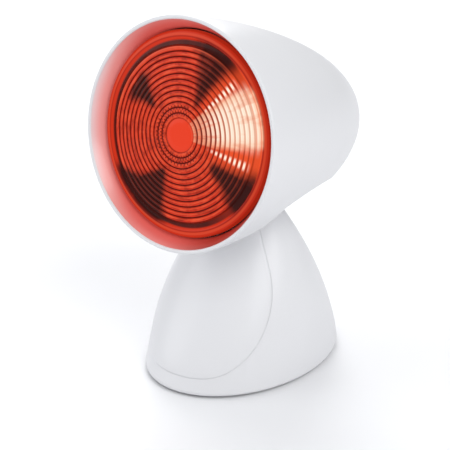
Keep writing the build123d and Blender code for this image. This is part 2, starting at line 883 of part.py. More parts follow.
with BuildPart() as front_cover:
    add(cover_outside)
    add(teardrop_prism(), mode=Mode.INTERSECT)
    add(foot_inside, mode=Mode.SUBTRACT)
    # ribs that close the pin's slots
    for side in (1, -1):
        with BuildSketch(slot_side.offset(side * (cheek_inside + cheek_thickness / 2))):
            with Locations((-pin_radius, 0)):
                Rectangle(2 * dome_radius, 2 * pin_radius - cover_gap, align=(Align.MAX, Align.CENTER))
            Circle(pin_radius, mode=Mode.SUBTRACT)
        extrude(amount=cheek_thickness / 2, both=True)
    add(cover_outside, mode=Mode.INTERSECT)
    add(tongue_room.part, mode=Mode.SUBTRACT)
finish(front_cover, "front_cover")

with BuildPart() as base_plate:
    add(foot_solid(base_wall + plate_gap))
    with BuildSketch(Plane.XY.offset(plate_top)):
        Rectangle(4 * base_half_width, 4 * base_half_depth)
    extrude(amount=2 * neck_height, mode=Mode.SUBTRACT)
    with BuildSketch(Plane.XY):
        Rectangle(4 * base_half_width, 4 * base_half_depth)
    extrude(amount=plate_bottom, mode=Mode.SUBTRACT)
    with BuildSketch(Plane.XY.offset(plate_bottom)):
        Ellipse(base_half_width - ring_inset, base_half_depth - ring_inset)
        Ellipse(
            base_half_width - ring_inset - ring_width,
            base_half_depth - ring_inset - ring_width,
            mode=Mode.SUBTRACT,
        )
    extrude(amount=ring_groove, mode=Mode.SUBTRACT)
    with BuildSketch(Plane.XY.offset(plate_bottom)):
        with GridLocations(2 * post_x, 2 * post_y, 2, 2):
            Circle(screw_head_radius + belly_fit)
    extrude(amount=screw_head_height, mode=Mode.SUBTRACT)
    with BuildSketch(Plane.XY.offset(plate_bottom)):
        with GridLocations(2 * post_x, 2 * post_y, 2, 2):
            Circle(screw_hole)
    extrude(amount=plate_thickness, mode=Mode.SUBTRACT)
finish(base_plate, "base_plate")

with BuildPart() as anti_slip_ring:
    with BuildSketch(Plane.XY):
        Ellipse(base_half_width - ring_inset, base_half_depth - ring_inset)
        Ellipse(
            base_half_width - ring_inset - ring_width,
            base_half_depth - ring_inset - ring_width,
            mode=Mode.SUBTRACT,
        )
    extrude(amount=plate_bottom + ring_groove)
finish(anti_slip_ring, "anti_slip_ring")

with BuildPart() as base_screws:
    with BuildSketch(Plane.XY.offset(plate_bottom + screw_head_height)):
        with GridLocations(2 * post_x, 2 * post_y, 2, 2):
            Circle(screw_head_radius)
    extrude(amount=-screw_head_height)
    with BuildSketch(Plane.XY.offset(plate_bottom + screw_head_height)):
        with GridLocations(2 * post_x, 2 * post_y, 2, 2):
            Circle(screw_radius)
    extrude(amount=screw_length)
finish(base_screws, "base_screws")

# ---- hinge --------------------------------------------------------------------------------
with BuildPart() as hinge_pin:
    with BuildSketch(hinge_side):
        Circle(pin_radius)
    extrude(amount=pin_half, both=True)
    for side in (1, -1):
        with BuildSketch(hinge_side.offset(side * (cheek_outside + clip_thickness / 2))):
            Circle(pin_radius)
            Circle(pin_radius - clip_groove, mode=Mode.SUBTRACT)
        extrude(amount=clip_thickness / 2, both=True, mode=Mode.SUBTRACT)
    chamfer(hinge_pin.edges().group_by(Axis.X)[0], length=clip_groove)
    chamfer(hinge_pin.edges().group_by(Axis.X)[-1], length=clip_groove)
finish(hinge_pin, "hinge_pin")

with BuildPart() as pin_clips:
    for side in (1, -1):
        with BuildSketch(hinge_side.offset(side * (cheek_outside + clip_thickness / 2))):
            Circle(clip_radius)
            Circle(pin_radius - clip_groove, mode=Mode.SUBTRACT)
            Rectangle(
                clip_radius,
                2 * (pin_radius - 2 * clip_groove),
                align=(Align.MIN, Align.CENTER),
                mode=Mode.SUBTRACT,
            )
        extrude(amount=clip_thickness / 2, both=True)
finish(pin_clips, "pin_clips")

with BuildPart() as hinge_washers:
    for side in (1, -1):
        with BuildSketch(hinge_side.offset(side * (cheek_inside - washer_thickness / 2))):
            Circle(washer_radius)
            Circle(pin_radius, mode=Mode.SUBTRACT)
        extrude(amount=washer_thickness / 2, both=True)
finish(hinge_washers, "hinge_washers")

spring_screw_back = (spring_foot + shelf_half_depth) / 2
nose_radius = detent_radius - spring_gap
with BuildPart() as detent_spring:
    with BuildSketch(hinge_side):
        with BuildLine():
            crest = -tongue_radius - 2 * nose_radius
            shelf_top = -shelf_drop
            Polyline(
                (shelf_half_depth - spring_sheet, shelf_top),
                (spring_foot, shelf_top),
                (0, crest - spring_sheet),
                (-spring_end, shelf_top + spring_sheet),
                (-spring_end, shelf_top + 2 * spring_sheet),
                (0, crest),
                (spring_foot, shelf_top + spring_sheet),
                (shelf_half_depth - spring_sheet, shelf_top + spring_sheet),
                close=True,
            )
        make_face()
        with Locations((0, -tongue_radius)):
            Circle(nose_radius)
            Rectangle(2 * nose_radius, 3 * nose_radius, align=(Align.CENTER, Align.MAX))
    extrude(amount=spring_width / 2, both=True)
    with BuildSketch(Plane.XY.offset(pivot_height - shelf_drop)):
        with Locations((0, pivot_back + spring_screw_back)):
            Circle(screw_hole)
    extrude(amount=2 * spring_sheet, mode=Mode.SUBTRACT)
finish(detent_spring, "detent_spring")

with BuildPart() as detent_screw:
    with BuildSketch(Plane.XY.offset(pivot_height - shelf_drop + spring_sheet)):
        with Locations((0, pivot_back + spring_screw_back)):
            Circle(screw_head_radius)
    extrude(amount=screw_head_height)
    with BuildSketch(Plane.XY.offset(pivot_height - shelf_drop + spring_sheet)):
        with Locations((0, pivot_back + spring_screw_back)):
            Circle(screw_radius)
    extrude(amount=-screw_length / 2)
finish(detent_screw, "detent_screw")

# ---- cord inlet ---------------------------------------------------------------------------
rear_there = foot_half_sizes(inlet_height / neck_height)[1] + gland_proud
with BuildPart() as cable_gland:
    with BuildSketch(Plane.XZ.offset(-gland_boss_front)):
        with Locations((0, inlet_height)):
            Circle(gland_flange_radius)
    extrude(amount=gland_flange)
    with BuildSketch(Plane.XZ.offset(-gland_boss_front)):
        with Locations((0, inlet_height)):
            Circle(gland_radius)
    extrude(amount=gland_boss_front - rear_there)
    with BuildSketch(Plane.XZ.offset(-gland_boss_front + gland_flange)):
        with Locations((0, inlet_height)):
            Circle(inlet_radius)
    extrude(amount=-base_half_depth, mode=Mode.SUBTRACT)
finish(cable_gland, "cable_gland")

with BuildPart() as terminal_block:
    way_pitch = block_length / block_ways
    with BuildSketch(Plane.XY.offset(plate_top)):
        with Locations((0, block_back)):
            Rectangle(block_length, block_width)
    extrude(amount=block_height)
    with BuildSketch(Plane.XZ.offset(-block_back)):
        with Locations((0, plate_top + block_height / 2)):
            with GridLocations(way_pitch, 0, block_ways, 1):
                Circle(block_wire_radius)
    extrude(amount=block_width, both=True, mode=Mode.SUBTRACT)
    with BuildSketch(Plane.XY.offset(plate_top + block_height)):
        with Locations((0, block_back)):
            with GridLocations(way_pitch, block_width / 2, block_ways, 2):
                Circle(screw_radius)
    extrude(amount=-block_height / 2, mode=Mode.SUBTRACT)
finish(terminal_block, "terminal_block")
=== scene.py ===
import json
from math import cos, pi, radians, sin, sqrt

import bpy
from mathutils import Matrix, Vector


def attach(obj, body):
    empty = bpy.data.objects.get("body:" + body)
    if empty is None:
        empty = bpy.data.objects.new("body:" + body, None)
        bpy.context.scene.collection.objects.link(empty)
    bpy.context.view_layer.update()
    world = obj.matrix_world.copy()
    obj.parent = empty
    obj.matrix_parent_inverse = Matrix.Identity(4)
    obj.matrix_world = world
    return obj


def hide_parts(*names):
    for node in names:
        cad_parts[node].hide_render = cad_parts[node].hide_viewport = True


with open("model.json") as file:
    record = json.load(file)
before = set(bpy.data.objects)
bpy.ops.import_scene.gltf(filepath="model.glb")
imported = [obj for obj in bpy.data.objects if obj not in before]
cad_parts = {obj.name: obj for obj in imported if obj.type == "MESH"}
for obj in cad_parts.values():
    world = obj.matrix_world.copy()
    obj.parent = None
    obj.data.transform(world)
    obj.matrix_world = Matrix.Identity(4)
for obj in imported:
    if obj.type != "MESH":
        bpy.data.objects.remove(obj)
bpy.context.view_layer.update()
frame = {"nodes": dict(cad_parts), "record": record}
nodes = frame["nodes"]
bpy.ops.object.select_all(action="DESELECT")
print("frame loaded")

head = {
    "tilt": 9.2,  # degrees that the head looks up
    "hinge": (0, 0.006, 0.1),  # metres
    "rimForward": 0.0805,  # from the hinge to the rim's centre, in metres
    "rimUp": 0.051,
}
headTilt = radians(head["tilt"])
axisBack = Vector((0, cos(headTilt), -sin(headTilt)))  # from the rim towards the tail
axisUp = Vector((0, sin(headTilt), cos(headTilt)))
rimCentre = Vector(head["hinge"]) - axisBack * head["rimForward"] + axisUp * head["rimUp"]


class Val:  # a shader socket that can be used in sums
    def __init__(self, shader, socket):
        self.shader = shader
        self.socket = socket

    def work(self, operation, a, b=0.0):
        return self.shader.node("ShaderNodeMath", {"operation": operation}, {0: a, 1: b})

    def __add__(self, other):
        return self.work("ADD", self, other)

    def __sub__(self, other):
        return self.work("SUBTRACT", self, other)

    def __mul__(self, other):
        return self.work("MULTIPLY", self, other)

    def __truediv__(self, other):
        return self.work("DIVIDE", self, other)

    def __pow__(self, other):
        return self.work("POWER", self, other)

    def __rsub__(self, other):
        return self.work("SUBTRACT", other, self)

    def __rtruediv__(self, other):
        return self.work("DIVIDE", other, self)

    __radd__ = __add__
    __rmul__ = __mul__

    def __abs__(self):
        return self.work("ABSOLUTE", self)

    def wave(self):
        return self.work("SINE", self)

    def over(self, other):  # the larger of two
        return self.work("MAXIMUM", self, other)

    def angleFrom(self, across):  # degrees
        return self.work("ARCTAN2", self, across) * (180 / pi)

    def step(self, low, high):  # 0 below low, 1 above high, smooth between
        return self.shader.node("ShaderNodeMapRange", {"interpolation_type": "SMOOTHSTEP"},
                                {"Value": self, "From Min": low, "From Max": high})


class Finish:  # one material, built from expressions
    def __init__(self, name, colour, roughness, metallic=0.0, **plain):
        self.mat = bpy.data.materials.new(name)
        self.mat.use_nodes = True
        self.tree = self.mat.node_tree
        self.bsdf = self.tree.nodes["Principled BSDF"]
        self.feed("Base Color", colour)
        self.feed("Roughness", roughness)
        self.feed("Metallic", metallic)
        for key, value in plain.items():
            self.feed(key.replace("_", " "), value)
        self.place = self.node("ShaderNodeTexCoord", out="Object")

    def feed(self, name, value):
        self.put(self.bsdf.inputs[name], value)

    def put(self, socket, value):
        if isinstance(value, Val):
            self.tree.links.new(value.socket, socket)
        elif socket.type == "RGBA":
            socket.default_value = (*value, 1)
        else:
            socket.default_value = value

    def node(self, kind, settings=None, sockets=None, out=0):
        made = self.tree.nodes.new(kind)
        for key, value in (settings or {}).items():
            setattr(made, key, value)
        for key, value in (sockets or {}).items():
            self.put(made.inputs[key], value)
        return Val(self, made.outputs[out])

    def noise(self, scale, detail=2.0, stretch=(1, 1, 1)):
        spot = self.node("ShaderNodeMapping", None, {"Vector": self.place, "Scale": stretch})
        return self.node("ShaderNodeTexNoise", None,
                         {"Vector": spot, "Scale": scale, "Detail": detail})

    def noiseAt(self, x, y, z, detail):
        spot = self.node("ShaderNodeCombineXYZ", None, {0: x, 1: y, 2: z})
        return self.node("ShaderNodeTexNoise", None,
                         {"Vector": spot, "Scale": 1.0, "Detail": detail})

    def mix(self, share, a, b):  # colours a to b
        return self.node("ShaderNodeMix", {"data_type": "RGBA"}, {0: share, 6: a, 7: b}, out=2)

    def dot(self, direction, origin):  # how far along a direction a point lies
        gap = self.node("ShaderNodeVectorMath", {"operation": "SUBTRACT"},
                        {0: self.place, 1: origin})
        return self.node("ShaderNodeVectorMath", {"operation": "DOT_PRODUCT"},
                         {0: gap, 1: direction}, out=1)

    def rimPlace(self):  # millimetres across and up from the rim's centre, and away from it
        across = self.dot((1, 0, 0), rimCentre) * 1000
        height = self.dot(axisUp, rimCentre) * 1000
        return across, height, (across * across + height * height) ** 0.5

    def bump(self, height, strength, distance):
        self.feed("Normal", self.node("ShaderNodeBump", None, {
            "Height": height, "Strength": strength, "Distance": distance}))


def times(colour, share, most=1.0):  # a colour made darker or lighter
    return tuple(min(part * share, most) for part in colour)


plastic = {
    "white": (0.69, 0.692, 0.712),
    "belly": (0.64, 0.64, 0.66),
    "grey": (0.72, 0.72, 0.74),
    "cream": (0.84, 0.82, 0.76),
    "rubber": (0.055, 0.055, 0.058),
    "softWhite": (0.74, 0.74, 0.76),
    # how fine each pattern is
    "cloudScale": 9,
    "smearScale": 40,
    "rippleScale": 160,
    "mottleScale": 25,
    "grainScale": 1800,
    "speckScale": 900,
    # how deep, in metres
    "ripple": 0.00004,
    "grain": 0.00006,
    "speck": 0.0001,
}


def glossPlastic(name, colour, roughness=0.38, coat=0.14):
    skin = Finish(name, colour, roughness, Coat_Roughness=0.16, Specular_IOR_Level=0.4)
    cloud = skin.noise(plastic["cloudScale"], 3)
    skin.feed("Base Color", skin.mix(cloud, colour, times(colour, 0.985)))
    skin.feed("Roughness", roughness - 0.04 + cloud * 0.08)
    skin.feed("Coat Weight", coat - 0.05 + skin.noise(plastic["smearScale"]) * 0.1)
    skin.bump(skin.noise(plastic["rippleScale"], 1), 0.25, plastic["ripple"])
    return skin.mat


def mattPlastic(name, colour, roughness=0.55):
    skin = Finish(name, colour, roughness)
    grain = skin.noise(plastic["grainScale"], 2)
    mottle = skin.noise(plastic["mottleScale"], 3)
    skin.feed("Base Color", skin.mix(mottle, colour, times(colour, 0.95)))
    skin.feed("Roughness", roughness + (grain - 0.5) * 0.16)
    skin.bump(grain, 0.35, plastic["grain"])
    return skin.mat


def rubberSkin(name, colour):
    skin = Finish(name, colour, 0.75, Specular_IOR_Level=0.35)
    speck = skin.noise(plastic["speckScale"], 4)
    skin.feed("Base Color", skin.mix(speck, colour, times(colour, 1.5, 0.9)))
    skin.feed("Roughness", 0.68 + speck * 0.16)
    skin.bump(speck, 0.5, plastic["speck"])
    return skin.mat


metal = {
    "steel": (0.56, 0.57, 0.58),
    "spring": (0.42, 0.43, 0.45),
    "brass": (0.78, 0.56, 0.25),
    "aluminium": (0.80, 0.80, 0.81),
    "solder": (0.55, 0.55, 0.56),
    "tungsten": (0.30, 0.28, 0.26),
    "streakScale": 420,
    "patchScale": 35,
    "scratch": 0.00003,  # metres deep
}


def bareMetal(name, colour, roughness, stretch=(1, 1, 12)):
    skin = Finish(name, colour, roughness, 1.0)
    streak = skin.noise(metal["streakScale"], 4, stretch)
    patch = skin.noise(metal["patchScale"], 3)
    skin.feed("Base Color", skin.mix(patch, colour, times(colour, 0.8)))
    skin.feed("Roughness", roughness - 0.08 + streak * 0.12 + patch * 0.08)
    skin.bump(streak, 0.3, metal["scratch"])
    return skin.mat


glaze = {
    "porcelain": (0.86, 0.84, 0.79),
    "blackGlass": (0.02, 0.02, 0.022),
    "cloudScale": 120,
    "dimple": 0.0001,  # metres deep
}


def glazed(name, colour, roughness):
    skin = Finish(name, colour, roughness, Coat_Roughness=0.05)
    cloud = skin.noise(glaze["cloudScale"], 3)
    skin.feed("Base Color", skin.mix(cloud, colour, times(colour, 0.93)))
    skin.feed("Coat Weight", 0.7 + cloud * 0.2)
    skin.bump(cloud, 0.15, glaze["dimple"])
    return skin.mat


bowl = {
    "silver": (0.84, 0.84, 0.86),
    "dull": (0.70, 0.70, 0.73),
    "mottleScale": 60,
}


def silveredBowl():
    skin = Finish("silveredBowl", bowl["silver"], 0.12, 1.0, Coat_Roughness=0.03)
    mottle = skin.noise(bowl["mottleScale"], 3)
    skin.feed("Base Color", skin.mix(mottle, bowl["silver"], bowl["dull"]))
    skin.feed("Roughness", 0.10 + mottle * 0.10)
    skin.feed("Coat Weight", 0.8 + mottle * 0.1)
    return skin.mat


turned = {
    "steps": 224,  # points round a ring
    "smoothAngle": 40,
    "closeBelow": 1,  # a ring smaller than this, in millimetres, closes to a point
    "weld": 0.000001,  # metres
}


def turnRings(name, rings, finish):
    # rings of (depth behind the rim, radius) in millimetres, extruded one from the next
    bpy.ops.object.select_all(action="DESELECT")
    depth, radius = rings[0]
    closed = radius < turned["closeBelow"]
    bpy.ops.mesh.primitive_circle_add(
        vertices=turned["steps"], radius=radius / 1000, location=(0, 0, depth / 1000),
        fill_type="TRIFAN" if closed else "NOTHING")
    piece = bpy.context.object
    piece.name = name
    bpy.ops.object.transform_apply(location=True, rotation=True, scale=True)
    bpy.ops.object.mode_set(mode="EDIT")
    bpy.ops.mesh.select_mode(type="EDGE")
    bpy.ops.mesh.select_all(action="SELECT")
    if closed:
        bpy.ops.mesh.region_to_loop()
    for nextDepth, nextRadius in rings[1:]:
        bpy.ops.mesh.extrude_edges_move(
            TRANSFORM_OT_translate={"value": (0, 0, (nextDepth - depth) / 1000)})
        share = nextRadius / radius
        bpy.ops.transform.resize(value=(share, share, 1),
                                 center_override=(0, 0, nextDepth / 1000))
        depth, radius = nextDepth, nextRadius
    if radius < turned["closeBelow"]:
        bpy.ops.mesh.merge(type="CENTER")
    bpy.ops.mesh.select_all(action="SELECT")
    bpy.ops.mesh.remove_doubles(threshold=turned["weld"])
    bpy.ops.mesh.normals_make_consistent(inside=False)
    bpy.ops.object.mode_set(mode="OBJECT")
    # from upright at the origin to the head's own axis
    piece.matrix_world = Matrix.Translation(rimCentre) @ Matrix((
        (1, 0, 0, 0), (0, -axisUp.y, axisBack.y, 0), (0, -axisUp.z, axisBack.z, 0), (0, 0, 0, 1)))
    bpy.ops.object.transform_apply(location=True, rotation=True, scale=True)
    bpy.ops.object.shade_smooth_by_angle(angle=radians(turned["smoothAngle"]))
    piece.data.materials.append(finish)
    return piece


lens = {
    "faceDepth": 3.5,  # behind the rim, at the middle of the face
    "rise": 4.5,  # how far the face falls back from its middle to its edge
    "radius": 60.5,
    "discRadius": 9.8,
    "fieldRadius": 51.4,
    "rings": 13,
    # plain disc: radius, and how far it stands out
    "disc": ((0.5, 0.0), (3.0, 0.0), (6.0, 0.0), (9.1, 0.1)),
    # prism rings: how far a valley and a ridge stand out, and the ridge's shape as shares
    # of its width and height
    "valley": -0.15,
    "ridge": 0.55,
    "ridgeShape": ((0.10, 0.62), (0.3, 0.94), (0.5, 1.0), (0.7, 0.94), (0.90, 0.62)),
    # groove and band round the rings, out to the edge
    "band": ((51.4, -0.3), (52.2, -1.0), (54.8, -1.0), (55.5, -0.4), (56.0, 0.1),
             (56.6, 0.25), (58.2, 0.3), (59.2, 0.2), (59.9, -0.15), (60.3, -0.7)),
    "edge": ((9.2, 60.5), (11.5, 60.5), (11.5, 57.2)),  # depth and radius
    # hollow back
    "wall": 3.0,
    "backDepth": 11.5,
    "backRadius": 57.0,
    "backFirst": 56.8,
    "backStep": 4.0,
    "backRings": 14,
    "backTip": 0.5,
}
lensPitch = (lens["fieldRadius"] - lens["discRadius"]) / lens["rings"]


def makeLens():
    def face(radius, lift):
        fall = lens["rise"] * (radius / lens["radius"]) ** 2
        return lens["faceDepth"] + fall - lift, radius

    rings = [face(radius, lift) for radius, lift in lens["disc"]]
    for ring in range(lens["rings"]):
        start = lens["discRadius"] + ring * lensPitch
        rings.append(face(start, lens["valley"]))
        for share, lift in lens["ridgeShape"]:
            rings.append(face(start + share * lensPitch, lens["ridge"] * lift))
    rings += [face(radius, lift) for radius, lift in lens["band"]]
    rings += lens["edge"]
    hollow = lens["faceDepth"] + lens["wall"]
    for ring in range(lens["backRings"]):
        radius = lens["backFirst"] - lens["backStep"] * ring
        share = radius / lens["backRadius"]
        rings.append((hollow + (lens["backDepth"] - hollow) * share ** 2, radius))
    rings.append((hollow, lens["backTip"]))
    piece = turnRings("lampLens", rings, finishes["red_glass"])
    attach(piece, "bulb")
    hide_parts("bulb_lens")
    print("lens made")


glow = {
    # colours, from the unlit glass to the filament's own light
    "glass": (0.02, 0.001, 0.0008),
    "deep": (0.020, 0.0045, 0.0035),
    "line": (0.080, 0.0045, 0.0025),
    "ember": (0.40, 0.014, 0.005),
    "red": (0.63, 0.032, 0.009),
    "bright": (0.68, 0.044, 0.013),
    "disc": (0.80, 0.052, 0.018),
    "crest": (0.88, 0.12, 0.045),
    "orange": (0.90, 0.10, 0.024),
    "fan": (1.0, 0.56, 0.34),
    "hot": (1.0, 0.90, 0.74),
    "strength": 1.0,
    # noise: how fine, or how often it turns round the lens and outwards, and its detail
    "cloud": (70, 3),
    "flow": (26, 2),
    "streaks": (11, 0.07, 3),
    "glints": (5, 0.5, 2),
    # rings, in millimetres from the middle: begins, is full, begins to fade, ends
    "bloomRing": (14, 40, 55, 58),
    "dimpleRing": (11, 12.5, 17, 19),
    "groove": (50.9, 52.0, 54.0, 55.4),
    "bandLine": (56.2, 56.6, 56.8, 57.2),
    "bandLight": (56.9, 57.6, 58.2, 59.0),
    "rimLine": (49.8, 50.4, 50.6, 51.2),
    "fanRing": (8.2, 11.0, 55.0, 58.0),
    "hotRing": (14, 30, 51, 57),
    "sparkRing": (20, 28, 46, 51),
    "band": (55.0, 56.5),
    "outerEdge": (59.4, 60.2),
    # sectors, in degrees: middle, half width, softness
    "bloomSector": (16, 42, 22),
    "dimpleGap": (16, 52, 10),
    "grooveGap": (10, 50, 30),
    "bandShade": (8, 62, 26),
    "rimLineSector": (135, 70, 30),
    "hotSector": (21, 18, 8),
    # the fan narrows and the sparks widen by so many degrees a millimetre outwards
    "fanSector": (20.5, 32, 3.0),
    "fanNarrows": 0.27,
    "fanRagged": 8,
    "sparks": ((-11.0, 0.0), (45.5, 0.02)),  # middle of each row, and its lean
    "sparkHalf": 1.4,
    "sparkWidens": 0.025,
    "sparkSoftness": 1.8,
    "dimples": 44,
    "dimpleRadius": 13.2,
    "dimplePitch": 3.2,
    # dark sectors: middle and its lean, half width and its spread, inner and outer radius, depth
    "patches": (
        (-112, -0.37, 3, 0.62, 23, 57, 1.0),
        (-29, 0.0, 4, 0.34, 26, 57, 0.85),
        (64, 0.18, 5, 0.32, 19, 57, 0.72),
        (147, 0.0, 1.5, 0.55, 23, 45, 0.95),
    ),
    "patchSoftness": 9,
    "patchPivot": 20,  # radius that lean and spread are counted from
    # how strongly each layer covers those under it
    "streakShare": 0.65,
    "glintShare": 0.5,
    "fleckShare": 0.38,
    "bloomShare": 0.75,
    "dimpleShare": 0.75,
    "edgeShare": 0.36,
    "rimLineShare": 0.6,
    "bandLightShare": 0.3,
}


def lensGlass():
    skin = Finish("redPressedGlass", glow["glass"], 0.22,
                  Specular_IOR_Level=0.07, Coat_Roughness=0.05)
    across, height, r = skin.rimPlace()
    angle = height.angleFrom(across)

    def roundNoise(turns, outwards, detail):  # noise drawn out towards the middle
        spin = turns / (r + 0.5)
        return skin.noiseAt(across * spin, height * spin, r * outwards, detail)

    def sector(middle, half, soft):  # 1 inside an angle either side of the middle
        return 1 - (abs(angle - middle) - half).step(-soft, soft)

    def ring(begins, full, fades, ends):
        return r.step(begins, full) * (1 - r.step(fades, ends))

    flow = skin.noise(*glow["flow"])
    streaks = roundNoise(*glow["streaks"])
    glints = roundNoise(*glow["glints"])
    # ridges of the prism rings: 0 in the valleys, 1 on the crests
    turn = (r - lens["discRadius"]) * (2 * pi / lensPitch)
    ridge = (turn - pi / 2).wave() * 0.5 + 0.5
    slope = turn.wave() * 0.5 + 0.5  # 1 on a ridge's inner flank, 0 on its outer one
    field = ring(lens["discRadius"] - 0.4, lens["discRadius"] + 0.6,
                 lens["fieldRadius"] - 0.4, lens["fieldRadius"] + 0.6)
    valley = (1 - ridge.step(0.02, 0.34)) * field
    crest = (ridge * 0.6 + slope * 0.4).step(0.6, 0.98) * field
    colour = skin.mix(r.step(10, 40), glow["bright"], glow["red"])
    colour = skin.mix((1 - field) * (1 - r.step(8, 12)), colour, glow["disc"])
    # dark streaks, light crests, and lighter and darker arcs along the ridges
    streak = (streaks - 0.36).step(0.0, 0.34) * field
    colour = skin.mix(streak * glow["streakShare"], colour, glow["ember"])
    colour = skin.mix(crest * (0.35 + streaks * 0.5), colour, glow["crest"])
    glint = (glints - 0.52).step(0.0, 0.14) * ridge * field
    colour = skin.mix(glint * glow["glintShare"], colour, glow["crest"])
    fleck = (0.48 - glints).step(0.0, 0.14) * field
    colour = skin.mix(fleck * glow["fleckShare"], colour, glow["line"])
    # an orange bloom round the fan of light
    begins, full, fades, ends = glow["bloomRing"]
    bloom = sector(*glow["bloomSector"]) * r.step(begins, full) * (1 - r.step(fades, ends) * 0.8)
    colour = skin.mix(bloom * glow["bloomShare"], colour, glow["orange"])
    # dimples in two rings round the disc, then the valleys over all
    dimple = (angle * (pi / 180 * glow["dimples"])).wave()
    dimple = dimple * ((r - glow["dimpleRadius"]) * (2 * pi / glow["dimplePitch"])).wave()
    dimple = (dimple * 0.5 + 0.5).step(0.5, 0.85) * ring(*glow["dimpleRing"])
    dimple = dimple * (1 - sector(*glow["dimpleGap"]))
    colour = skin.mix(dimple * glow["dimpleShare"], colour, glow["line"])
    colour = skin.mix(valley * (0.98 - bloom * 0.45), colour, glow["line"])
    # where the bowl behind reflects nothing
    beyond = r - glow["patchPivot"]
    dark = 0
    for middle, lean, half, spread, inner, outer, depth in glow["patches"]:
        patch = sector(beyond * lean + middle, beyond * spread + half, glow["patchSoftness"])
        patch = patch * ring(inner - 4, inner + 5, outer - 3, outer + 3) * depth
        dark = patch.over(dark)
    dark = (dark + (flow + streaks - 1.0) * 0.7 * dark).step(0.04, 0.8)
    colour = skin.mix(dark * (1 - crest * 0.22), colour, glow["deep"])
    # groove round the field, and the plain band outside it
    groove = ring(*glow["groove"]) * (1 - sector(*glow["grooveGap"]) * 0.92)
    colour = skin.mix(groove * (0.86 + streaks * 0.14), colour, glow["deep"])
    band = r.step(*glow["band"]) * (0.25 + sector(*glow["bandShade"]) * 0.45)
    colour = skin.mix(band, colour, glow["ember"])
    edge = r.step(*glow["outerEdge"]) + ring(*glow["bandLine"])
    colour = skin.mix(edge * glow["edgeShare"], colour, glow["line"])
    rimLine = ring(*glow["rimLine"]) * sector(*glow["rimLineSector"])
    colour = skin.mix(rimLine * glow["rimLineShare"], colour, glow["crest"])
    bandLight = ring(*glow["bandLight"]) * glow["bandLightShare"]
    colour = skin.mix(bandLight, colour, glow["crest"])
    # the filament's image: a fan of light at one side, with a row of sparks along each edge
    far = r.step(24, 42)
    fine = (turn * 2 + streaks * 5).wave() * 0.5 + 0.5
    gloss = (ridge.step(0.14, 0.6) + far * 0.35).step(0.0, 1.0) * (0.75 + fine * 0.25)
    gloss = gloss * (0.5 + (streaks - 0.34).step(0.0, 0.22) * 0.5)
    middle, half, soft = glow["fanSector"]
    half = half - r * glow["fanNarrows"] + (flow - 0.5) * glow["fanRagged"]
    fan = sector(middle, half, soft) * ring(*glow["fanRing"]) * (r.step(12, 34) * 0.5 + 0.5)
    fan = fan * (0.06 + far * 0.22 + gloss * (0.94 - far * 0.22))
    colour = skin.mix(fan, colour, glow["fan"])
    hot = sector(*glow["hotSector"]) * ring(*glow["hotRing"]) * gloss
    colour = skin.mix(hot, colour, glow["hot"])
    for middle, lean in glow["sparks"]:
        half = r * glow["sparkWidens"] + glow["sparkHalf"]
        spark = sector(r * lean + middle, half, glow["sparkSoftness"]) * ring(*glow["sparkRing"])
        colour = skin.mix(spark * ridge.step(0.4, 0.75), colour, glow["hot"])
    skin.feed("Emission Color", colour)
    skin.feed("Emission Strength", glow["strength"])
    skin.feed("Coat Weight", 0.01 + skin.noise(*glow["cloud"]) * 0.03)
    return skin.mat


funnel = {
    # rounded lip, from outside to inside: depth behind the rim, and radius
    "lip": ((0.45, 67.35), (0.12, 67.75), (0.02, 67.78), (0.02, 67.3), (0.1, 66.9)),
    "throatRadius": 61.3,
    "throatDepth": 11.5,
    "steps": 14,
    "bow": 0.5,  # how far the flare bows inwards
    # collar round the bulb, and back along the outside
    "collar": ((12.3, 61.35), (15.6, 61.35), (16.0, 61.75), (16.0, 62.55), (11.9, 62.55)),
    "outside": ((1.6, 66.1), (0.95, 66.3), (0.6, 66.6)),
}


def makeFunnel():
    mouthDepth, mouthRadius = funnel["lip"][-1]
    rings = list(funnel["lip"])
    for step in range(1, funnel["steps"] + 1):
        share = step / funnel["steps"]
        bow = funnel["bow"] * sin(pi * share)
        rings.append((mouthDepth + (funnel["throatDepth"] - mouthDepth) * share,
                      mouthRadius + (funnel["throatRadius"] - mouthRadius) * share - bow))
    rings += [*funnel["collar"], *funnel["outside"], funnel["lip"][0]]
    piece = turnRings("lampFunnel", rings, finishes["white_funnel"])
    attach(piece, "head")
    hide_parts("funnel")
    print("funnel made")


paintedFunnelLight = {
    "unlit": (0.67, 0.655, 0.66),
    # painted light: the bulb's red light and shade painted on the white funnel, from the lip
    # inwards
    "white": (0.60, 0.54, 0.56),
    "pink": (0.66, 0.27, 0.255),
    "salmon": (0.60, 0.105, 0.09),
    "shade": (0.27, 0.018, 0.009),
    # the funnel glows with its painted light, though it is no lamp
    "glowStrength": 0.22,
    "cloudScale": 14,
    "depths": (-5, 11),  # millimetres behind the rim, from no painted light to full
    "shadeShare": 0.85,
}


